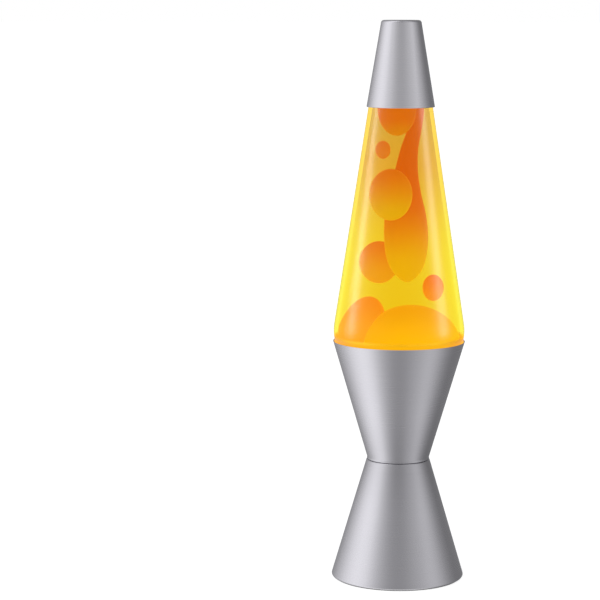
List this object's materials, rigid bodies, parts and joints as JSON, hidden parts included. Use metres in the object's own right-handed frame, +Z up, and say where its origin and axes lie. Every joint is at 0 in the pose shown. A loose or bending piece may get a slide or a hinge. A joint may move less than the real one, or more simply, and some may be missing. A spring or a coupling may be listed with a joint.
{
  "type": "lava lamp",
  "caption": "Table lamp with a waisted spun-metal base, a lift-out tapered glass globe of liquid and moving wax heated by a bulb below, and a lift-off metal cap.",
  "frame": {"origin": "centre of the foot, on the table", "axes": "+Z up along the lamp's axis, -Y to the front, +Y to the back where the cord leaves, +X to the viewer's right"},
  "size_m": [0.0883, 0.0882, 0.3683],
  "materials": {
    "spun_aluminium": "satin, with fine turned lines round the axis",
    "plated_steel": "zinc plated, satin",
    "phenolic_black": "moulded, semi-matt",
    "cover_black": "moulded, fine grain",
    "rubber_black": "matt",
    "brass": "rolled, slightly dulled",
    "bulb_glass": "clear",
    "globe_glass": "clear, glossy",
    "insulator_glass": "black glass",
    "solder": "soft solder, dull",
    "tungsten": "drawn wire",
    "closure_tin": "lacquered tinplate",
    "liner": "soft white plastic",
    "liquid": "clear, yellow",
    "wax": "melted, translucent orange"
  },
  "bodies": {
    "base": {"base_lower_cone": "spun_aluminium", "base_bowl": "spun_aluminium", "base_ring": "plated_steel", "foot_ring": "rubber_black", "bottom_cover": "cover_black", "cover_screws": "plated_steel", "cover_clips": "plated_steel", "cord_grommet": "rubber_black", "waist_plate": "plated_steel", "waist_rivets": "plated_steel", "lamp_holder": "phenolic_black", "holder_ring_nut": "phenolic_black", "holder_screw_shell": "brass", "holder_contact": "brass", "holder_rivet": "brass", "holder_terminals": "brass", "holder_terminal_screws": "brass", "holder_end_cap": "phenolic_black"},
    "bulb": {"bulb_screw_base": "brass", "bulb_insulator": "insulator_glass", "bulb_tip": "solder", "bulb_envelope": "bulb_glass", "bulb_stem": "bulb_glass", "bulb_lead_wires": "tungsten", "bulb_filament": "tungsten"},
    "globe": {"globe_glass": "globe_glass", "closure_liner": "liner", "globe_closure": "closure_tin", "heat_coil": "plated_steel", "lamp_liquid": "liquid", "wax_pool": "wax", "wax_mound": "wax", "wax_top": "wax", "wax_column": "wax"},
    "cap": {"top_cap": "spun_aluminium"},
    "ball_wax": {"wax_ball": "wax"},
    "bead_wax": {"wax_bead": "wax"},
    "left_egg_wax": {"wax_left_egg": "wax"},
    "right_egg_wax": {"wax_right_egg": "wax"}
  },
  "joints": [
    {"name": "globe_lift", "type": "slide", "parent": "base", "child": "globe", "axis": [0, 0, 1], "range_m": [0, 0.06]},
    {"name": "cap_lift", "type": "slide", "parent": "globe", "child": "cap", "axis": [0, 0, 1], "range_m": [0, 0.06]},
    {"name": "bulb_turn", "type": "hinge", "parent": "base", "child": "bulb", "pos_m": [0, 0, 0.09], "axis": [0, 0, 1], "range_deg": [0, 1080]},
    {"name": "ball_drift", "type": "slide", "parent": "globe", "child": "ball_wax", "axis": [0, 0, 1], "range_m": [-0.006, 0.004], "deforming": ["lamp_liquid"]},
    {"name": "bead_drift", "type": "slide", "parent": "globe", "child": "bead_wax", "axis": [0, 0, 1], "range_m": [-0.0015, 0.004], "deforming": ["lamp_liquid"]},
    {"name": "left_egg_drift", "type": "slide", "parent": "globe", "child": "left_egg_wax", "axis": [0, 0, 1], "range_m": [-0.004, 0.0025], "deforming": ["lamp_liquid"]},
    {"name": "right_egg_drift", "type": "slide", "parent": "globe", "child": "right_egg_wax", "axis": [0, 0, 1], "range_m": [-0.004, 0.008], "deforming": ["lamp_liquid"]}
  ]
}
